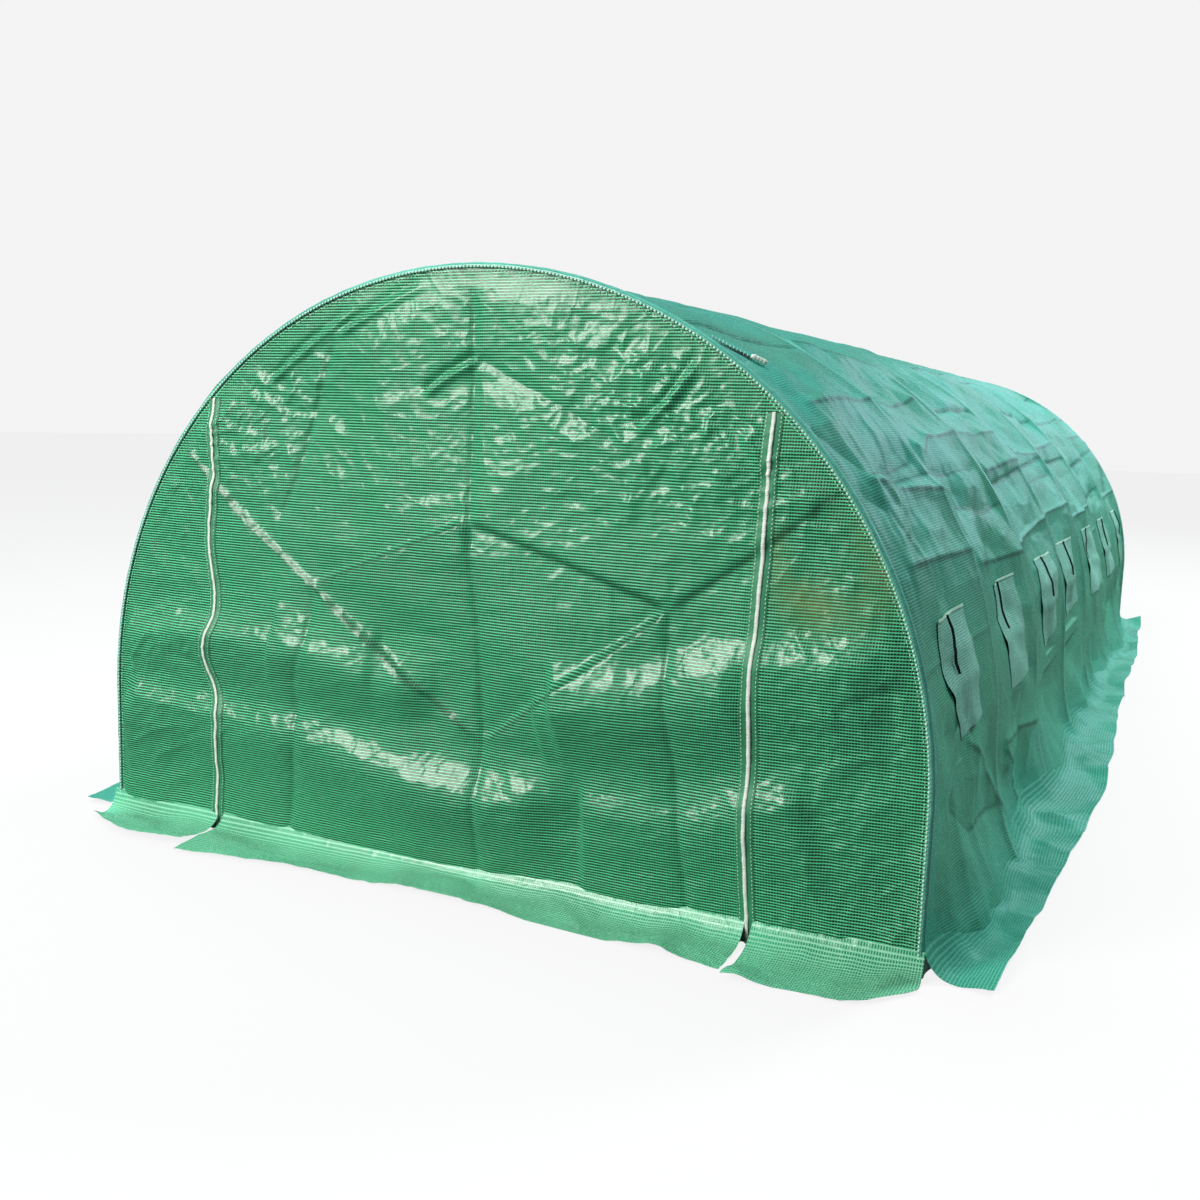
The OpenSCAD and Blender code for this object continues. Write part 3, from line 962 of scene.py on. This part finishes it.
def side_edge(side, widths):
    def inner(share):
        y = -END_Y + 2 * END_Y * share
        foot = side * (SIDE_S - SIDE_RISE) + 0 * y
        return side_place(foot, y, roof_out(foot, y, ROOF_SEED) - 0.004) * np.array([1, 1, 0])

    def outer(share):
        y = -END_Y + 2 * END_Y * share
        out = through(widths, share) + 0.02 * noise(y * 2.3 + 4 * side, 0 * y, SEED + 31)
        corner_lift = 0.07 * smooth(0.975, 1.0, share)
        return np.stack([side * (COVER_R + out), y, corner_lift], axis=-1)

    return inner, outer


for label, edges, seed in (
    ("right", side_edge(1, RIGHT_WIDTHS), SEED + 70),
    ("left", side_edge(-1, LEFT_WIDTHS), SEED + 73),
):
    node = f"{label}_skirt"
    skirt_sheet(f"{node}_film", *edges, 7.7, 0.18, node, seed, SIDE_SKIRT_FILM, SIDE_RISE)
skirt_sheet("back_skirt_film", *back_end, 3.0, 0.21, "back_skirt", SEED + 76, SKIRT_FILM)

# %% [markdown]
# ## Hems over the end hoops
# At each end the film wraps over the hoop in a sleeve. It is a short profile swept round the arch.

# %% Hems
HEM_PROFILE = [(-0.005, -0.010), (-0.008, -0.005), (-0.006, 0.002), (0.001, 0.006), (0.012, 0.007),
               (0.024, 0.006), (0.036, 0.004), (0.044, 0.001)]


def arch_hem(name, side, node):
    profile = np.array(HEM_PROFILE)
    s, k = np.meshgrid(np.linspace(-SIDE_S, SIDE_S, 420), np.arange(len(profile)), indexing="ij")
    pucker = 0.0015 * noise(s * 22, k * 0.4, SEED + 80)
    out = profile[k, 1] + pucker
    y = side * (END_Y - profile[k, 0])
    x, z = arch_section(s, COVER_R + out)
    places = np.stack([x, y, np.maximum(z, 0.003)], axis=-1)
    reach = np.concatenate([[0], np.cumsum(np.linalg.norm(np.diff(profile, axis=0), axis=1))])
    piece = add_sheet(name, places, s, reach[k], HEM_FILM, (0, side, 0))
    stand_for(piece, [node])


arch_hem("front_hem_film", -1, "front_hem")
arch_hem("back_hem_film", 1, "back_hem")

# %% [markdown]
# ## Beads on a path
# Zip teeth and stitches are one small rounded shape repeated along a line. A node tree places them: it
# turns a line of edges into a curve, sets points on it at a fixed pitch and puts a bead on each, turned
# along the line. Copies made by hand would work too, but the tree keeps pitch and size as named inputs.

# %% Path tree
BEAD = {"Segments": 6, "Rings": 4, "Radius": 0.5}
BEAD_INPUTS = (("Path", "Geometry"), ("Pitch", "Float"), ("Size", "Vector"), ("Spread", "Float"),
               ("Finish", "Material"))


def bead_tree():
    tree = bpy.data.node_groups.new("beads_on_path", "GeometryNodeTree")
    for label, kind in BEAD_INPUTS:
        tree.interface.new_socket(name=label, in_out="INPUT", socket_type=f"NodeSocket{kind}")
    tree.interface.new_socket(name="Beads", in_out="OUTPUT", socket_type="NodeSocketGeometry")

    def add(kind, inputs, **settings):
        return add_node(tree, kind, inputs, **settings).outputs

    start = add("NodeGroupInput", ())
    line = add("GeometryNodeMeshToCurve", {0: start["Path"]})[0]
    points = add("GeometryNodeCurveToPoints", {0: line, "Length": start["Pitch"]}, mode="LENGTH")
    turn = add("FunctionNodeAlignRotationToVector", {"Vector": points["Tangent"]}, axis="Z")[0]
    least = add("ShaderNodeMath", {0: 1.0, 1: start["Spread"]}, operation="SUBTRACT")[0]
    vary = add("FunctionNodeRandomValue", {2: least, "Seed": SEED})[1]
    size = add("ShaderNodeVectorMath", {0: start["Size"], "Scale": vary}, operation="SCALE")[0]
    copies = add("GeometryNodeInstanceOnPoints", {
        "Points": points["Points"], "Instance": add("GeometryNodeMeshUVSphere", BEAD)["Mesh"],
        "Rotation": turn, "Scale": size,
    })[0]
    real = add("GeometryNodeRealizeInstances", {0: copies})[0]
    painted = add("GeometryNodeSetMaterial", {0: real, "Material": start["Finish"]})[0]
    add("NodeGroupOutput", {"Beads": painted})
    return tree


BEADS = bead_tree()
print(BEADS.name, "with", len(BEADS.nodes), "nodes")


# %% [markdown]
# ### From the tree to a mesh
# The modifier's inputs are set by identifier, the result is copied to a plain mesh, and the path goes.

# %% Bead maker
def beads(name, path, pitch, size, finish, spread=0.15):
    """Beads along a line of places. size is across, deep and along the line."""
    line = bpy.data.meshes.new(name + "_path")
    line.from_pydata(np.asarray(path).tolist(), [(i, i + 1) for i in range(len(path) - 1)], [])
    carrier = add_object(name + "_path", line)
    modifier = carrier.modifiers.new("beads", "NODES")
    modifier.node_group = BEADS
    values = {"Pitch": pitch, "Size": size, "Spread": spread, "Finish": finish}
    for item in BEADS.interface.items_tree:
        if item.in_out == "INPUT" and item.name in values:
            modifier[item.identifier] = values[item.name]
    graph = bpy.context.evaluated_depsgraph_get()
    mesh = bpy.data.meshes.new_from_object(carrier.evaluated_get(graph))
    mesh.polygons.foreach_set("use_smooth", np.ones(len(mesh.polygons), bool))
    carrier.modifiers.remove(modifier)
    bpy.data.objects.remove(carrier)
    piece = add_object(name, mesh)
    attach(piece, "root")
    print(name, len(mesh.polygons), "faces")
    return piece


# %% [markdown]
# ## Zips
# A zip is a white coil between two tapes that are sewn to the film with a row of stitches each. It follows
# the sway of the curtain's edge, so the left one snakes where the film is slack.

# %% Zips
TAPE_ACROSS = np.array([-0.026, -0.019, -0.009, 0.0, 0.009, 0.019, 0.026])
TAPE_PROUD = np.array([0.0015, 0.0030, 0.0040, 0.0045, 0.0040, 0.0030, 0.0015])
TOOTH, TOOTH_PITCH = (0.016, 0.006, 0.008), 0.005
SEAM_STITCH, STITCH_PITCH = (0.004, 0.002, 0.007), 0.0125
SEAMS = (-0.021, 0.021)


def zip_line(side, z, across=0.0):
    sway = through(LEFT_SWAY if side < 0 else RIGHT_SWAY, z)
    x = side * ZIP_X + 0 * z
    return x + sway + across, -END_Y - door_end_out(x + across, z)


def add_zip(label, side):
    rows = np.linspace(0.0, ZIP_TOP, 200)
    z, across = np.meshgrid(rows, TAPE_ACROSS, indexing="ij")
    x, y = zip_line(side, z, across)
    places = np.stack([x, y - TAPE_PROUD[None, :], z + 0.003], axis=-1)
    tape = add_sheet(f"{label}_zip_tape", places, across, z, TAPE_GREEN, (0, -1, 0))
    stand_for(tape, [f"{label}_zip"])
    x, y = zip_line(side, rows)
    path = np.stack([x, y - 0.006, rows + 0.003], 1)
    sewn_on = [beads(f"{label}_zip_teeth", path, TOOTH_PITCH, TOOTH, ZIP_WHITE)]
    for k, offset in enumerate(SEAMS):
        x, y = zip_line(side, rows, offset)
        path = np.stack([x, y - 0.004, rows + 0.003], 1)
        sewn_on.append(beads(f"{label}_zip_stitch_{k}", path, STITCH_PITCH, SEAM_STITCH, STITCH))
    return [tape] + sewn_on


zip_pieces = add_zip("left", -1) + add_zip("right", 1)

# %% [markdown]
# ## Stitches round the end hoops
# The sleeve over each end hoop is sewn with two rows of thread, a thick one at its edge and a fine one
# further in. The bead tree lays both along the arch.

# %% Stitches round the end hoops
THICK_STITCH, FINE_STITCH = (0.008, 0.004, 0.010), (0.004, 0.002, 0.006)
STITCH_ROWS = [(0.007, 0.0085, THICK_STITCH), (0.019, 0.0045, FINE_STITCH)]


def arch_path(side, radius, proud):
    s = np.linspace(-SIDE_S, SIDE_S, 500)
    x, z = arch_section(s, radius)
    return np.stack([x, 0 * x + side * (END_Y + proud), np.maximum(z, 0.01)], axis=-1)


for label, side in (("front", -1), ("back", 1)):
    for k, (inset, proud, size) in enumerate(STITCH_ROWS):
        path = arch_path(side, COVER_R - inset, proud)
        row = beads(f"{label}_arch_stitch_{k}", path, STITCH_PITCH, size, STITCH)

# %% [markdown]
# ## Window flaps and ties
# Each window is closed by a flap that hangs from a hem above it. The lower part has been rolled up often,
# so it stands off the wall and slants to the back. A dark tie tape hangs down each flap. All flaps come
# from one function, with a slant for each bay, as flaps modelled by hand would hardly look different.

# %% Flaps
FLAP_TOP, FLAP_LENGTH, FLAP_HALF = 0.955, 0.40, 0.24
FLAP_SLANTS = (1.0, 0.1, 0.15, 0.4, 0.2, 0.5, 0.3)
TIE_SHARE, TIE_LENGTH, TIE_HALF = 0.4, 0.19, 0.0038


def flap_place(side, k, a, b, proud):
    """The place at share a across (front to back) and b down the k-th flap."""
    rng = np.random.default_rng(SEED + 90 + k)
    slant, flutter = FLAP_SLANTS[k], rng.uniform(0.7, 1.2)
    low = np.clip((b - 0.35) / 0.65, 0, 1) ** 1.5
    front, back = -FLAP_HALF + 0.24 * slant * low, FLAP_HALF - 0.03 * slant * low
    y = window_middle(k) + front + (back - front) * a
    s = section_at(FLAP_TOP) + FLAP_LENGTH * b * (1 - 0.10 * a * low)
    wave = noise(a * 2.2 + 3 * k, b * 1.8, SEED + 95) * 0.009 * flutter * (0.25 + b) * smooth(0, 0.5, a)
    kink = 0.006 * bell(b - 0.55, 0.08) + 0.012 * low * flutter * a
    out = 0.003 + np.maximum(wave + kink, -0.001) * np.clip(6 * b, 0, 1) + proud
    return side_place(side * s, y, roof_out(side * s, y, ROOF_SEED) + out)


def add_flap(label, side, k):
    outward = (side, 0, 0.3)
    wide = 2 * FLAP_HALF
    a, b = np.meshgrid(np.linspace(0, 1, 30), np.linspace(0, 1, 30))
    places = flap_place(side, k, a, b, 0.0)
    flap = add_sheet(f"{label}_flap_{k + 1}", places, a * wide, b * FLAP_LENGTH, FLAP_FILM, outward)
    strap = np.linspace(-1, 1, 5)
    down = np.linspace(0.0, TIE_LENGTH / FLAP_LENGTH, 26)
    a, b = np.meshgrid(TIE_SHARE + strap * TIE_HALF / wide, down)
    bend = 0.04 * noise(b * 4 + 7 * k, 0 * b, SEED + 97)
    edge_on = 0.006 + 0.0035 * strap[None, :]
    places = flap_place(side, k, a + bend, b, edge_on)
    tie = add_sheet(f"{label}_tie_{k + 1}", places, a, b, TIE_DARK, outward)
    a, b = np.meshgrid(np.linspace(0, 1, 30), np.linspace(-0.012, 0.012, 5))
    places = flap_place(side, k, a, b, 0.0035)
    hem = add_sheet(f"{label}_flap_hem_{k + 1}", places, a * wide, b, STITCH, outward)
    stand_for(flap, [f"{label}_window_flaps"])
    stand_for(tie, [f"{label}_window_ties"])
    stand_for(hem, [f"{label}_window_flaps"])


for bay in range(len(HOOP_Y) - 1):
    add_flap("right", 1, bay)
    add_flap("left", -1, bay)

# %% [markdown]
# ## A torn slot in the cover
# Just behind the door end's hem the film has a short slot with its threads still across it, and a white
# clip at its lower end. A dark patch of painted shade stands for the gap, and the bead tree above lays the
# threads over it.

# %% Slot, threads and clip
SLOT_FROM, SLOT_TO = (-3.765, 59.5), (-3.685, 54.5)
SLOT_ACROSS = (0.85, -0.52)
SLOT_HALF = 0.015
THREAD, THREAD_PITCH = (0.020, 0.002, 0.0025), 0.011
CLIP, CLIP_PITCH = (0.018, 0.016, 0.024), 0.010


def slot_place(share, across, proud):
    """The place at a share along the slot. Its ends are given as y and degrees up the bow."""
    y = SLOT_FROM[0] + (SLOT_TO[0] - SLOT_FROM[0]) * share + across * SLOT_ACROSS[0]
    angle = SLOT_FROM[1] + (SLOT_TO[1] - SLOT_FROM[1]) * share
    s = COVER_R * np.radians(90 - angle) + across * SLOT_ACROSS[1]
    return side_place(s, y, roof_out(s, y, ROOF_SEED) + proud)


def add_slot():
    share, side = np.meshgrid(np.linspace(0, 1, 24), np.linspace(-1, 1, 5))
    width = SLOT_HALF * np.sqrt(np.maximum(1 - (2 * share - 1) ** 2, 0))
    # A dark sheet laid on the film: painted shade where the slot opens onto the shaded inside.
    gap = add_sheet("torn_slot", slot_place(share, side * width, 0.004), share, side, TIE_DARK, (1, 0, 1))
    path = slot_place(np.linspace(0.08, 0.92, 30), np.zeros(30), 0.006)
    threads = beads("torn_slot_threads", path, THREAD_PITCH, THREAD, STITCH)
    path = slot_place(np.linspace(0.98, 1.18, 6), np.zeros(6), 0.010)
    clip = beads("torn_slot_clip", path, CLIP_PITCH, CLIP, ZIP_WHITE, 0.0)
    for piece in (gap, threads, clip):
        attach(piece, "root")


add_slot()

# %% [markdown]
# ## The stage
# A pale floor and soft light from large lamps, so that the colours come out about as they are written. The
# floor looks nearly white to the camera and throws little light up at the film.

# %% Floor
FLOOR_HALF = 60.0
FLOOR_LIGHT, FLOOR_SEEN = (0.16, 0.16, 0.16, 1.0), (0.6, 0.6, 0.6, 1.0)
GLOW_SEEN, GLOW_IN_GLOSS = (1.0, 1.0, 1.0, 1.0), (0.10, 0.16, 0.14, 1.0)
GLOW_SHARE = 0.86


def add_floor():
    mesh = bpy.data.meshes.new("floor")
    corners = [(-1, -1), (1, -1), (1, 1), (-1, 1)]
    mesh.from_pydata([(a * FLOOR_HALF, b * FLOOR_HALF, 0.0) for a, b in corners], [], [(0, 1, 2, 3)])
    material = bpy.data.materials.new("floor")
    material.use_nodes = True
    tree = material.node_tree
    tree.nodes.remove(tree.nodes["Principled BSDF"])
    path = add_node(tree, "ShaderNodeLightPath").outputs
    grey = mix(tree, path["Is Camera Ray"], FLOOR_LIGHT, FLOOR_SEEN)
    matt = add_node(tree, "ShaderNodeBsdfDiffuse", {"Color": grey}).outputs[0]
    tint = mix(tree, path["Is Glossy Ray"], GLOW_SEEN, GLOW_IN_GLOSS)
    glow = add_node(tree, "ShaderNodeEmission", {"Color": tint}).outputs[0]
    seen = math_node(tree, "MULTIPLY", path["Is Camera Ray"], GLOW_SHARE)
    share = math_node(tree, "ADD", seen, path["Is Glossy Ray"], True)
    blend = add_node(tree, "ShaderNodeMixShader", {0: share, 1: matt, 2: glow})
    tree.links.new(blend.outputs[0], tree.nodes["Material Output"].inputs["Surface"])
    mesh.materials.append(material)
    add_object("floor", mesh)


add_floor()
print("floor", 2 * FLOOR_HALF, "wide")

# %% [markdown]
# ### Sky and lamps
# The sky is a weak blue for the tunnel and white for the camera. The key lamp stands in front on the left,
# and the two lamps above light the roof without glints in it. Each lamp has a place, a target, a size, a
# power and a colour, and says whether gloss shows it.

# %% Sky and lamps
SKY_LIGHT, SKY_SEEN = (0.80, 0.90, 1.0, 1.0), (1.0, 1.0, 1.0, 1.0)
SKY_POWER, SKY_SEEN_POWER = 0.12, 0.9
LAMPS = [
    ("key", (-3.9, -10.8, 5.8), (0, -3.5, 0.9), (3.4, 5.0), 1100, (1.0, 0.97, 0.90), True),
    ("fill", (5.2, 6.0, 10.5), (1.4, -1.0, 0.9), (3.0, 3.0), 1950, (0.92, 1.0, 0.97), False),
    ("top", (-2.6, -2.0, 9.0), (0.4, -1.5, 1.2), (3.6, 3.6), 720, (0.76, 0.92, 1.0), False),
    ("back", (2.5, 14.0, 4.6), (0.8, 0.0, 1.4), (8.0, 4.6), 95, (0.60, 0.86, 1.0), True),
]


def add_world():
    world = bpy.data.worlds.new("studio")
    world.use_nodes = True
    tree = world.node_tree
    seen = add_node(tree, "ShaderNodeLightPath").outputs["Is Camera Ray"]
    sky = tree.nodes["Background"].inputs
    tree.links.new(mix(tree, seen, SKY_LIGHT, SKY_SEEN), sky["Color"])
    tree.links.new(soft_range(tree, seen, 0.0, 1.0, SKY_POWER, SKY_SEEN_POWER), sky["Strength"])
    bpy.context.scene.world = world


def add_lamp(name, place, target, size, power, tint, glints):
    data = bpy.data.lights.new(name, "AREA")
    data.shape = "RECTANGLE"
    data.size, data.size_y = size
    data.energy = power
    data.color = tint
    lamp = bpy.data.objects.new(name, data)
    turn = (Vector(place) - Vector(target)).to_track_quat("Z", "Y")
    lamp.matrix_world = Matrix.Translation(place) @ turn.to_matrix().to_4x4()
    lamp.visible_camera = False
    lamp.visible_glossy = glints
    bpy.context.scene.collection.objects.link(lamp)


add_world()
for lamp_row in LAMPS:
    add_lamp(*lamp_row)
print(len(LAMPS), "lamps")
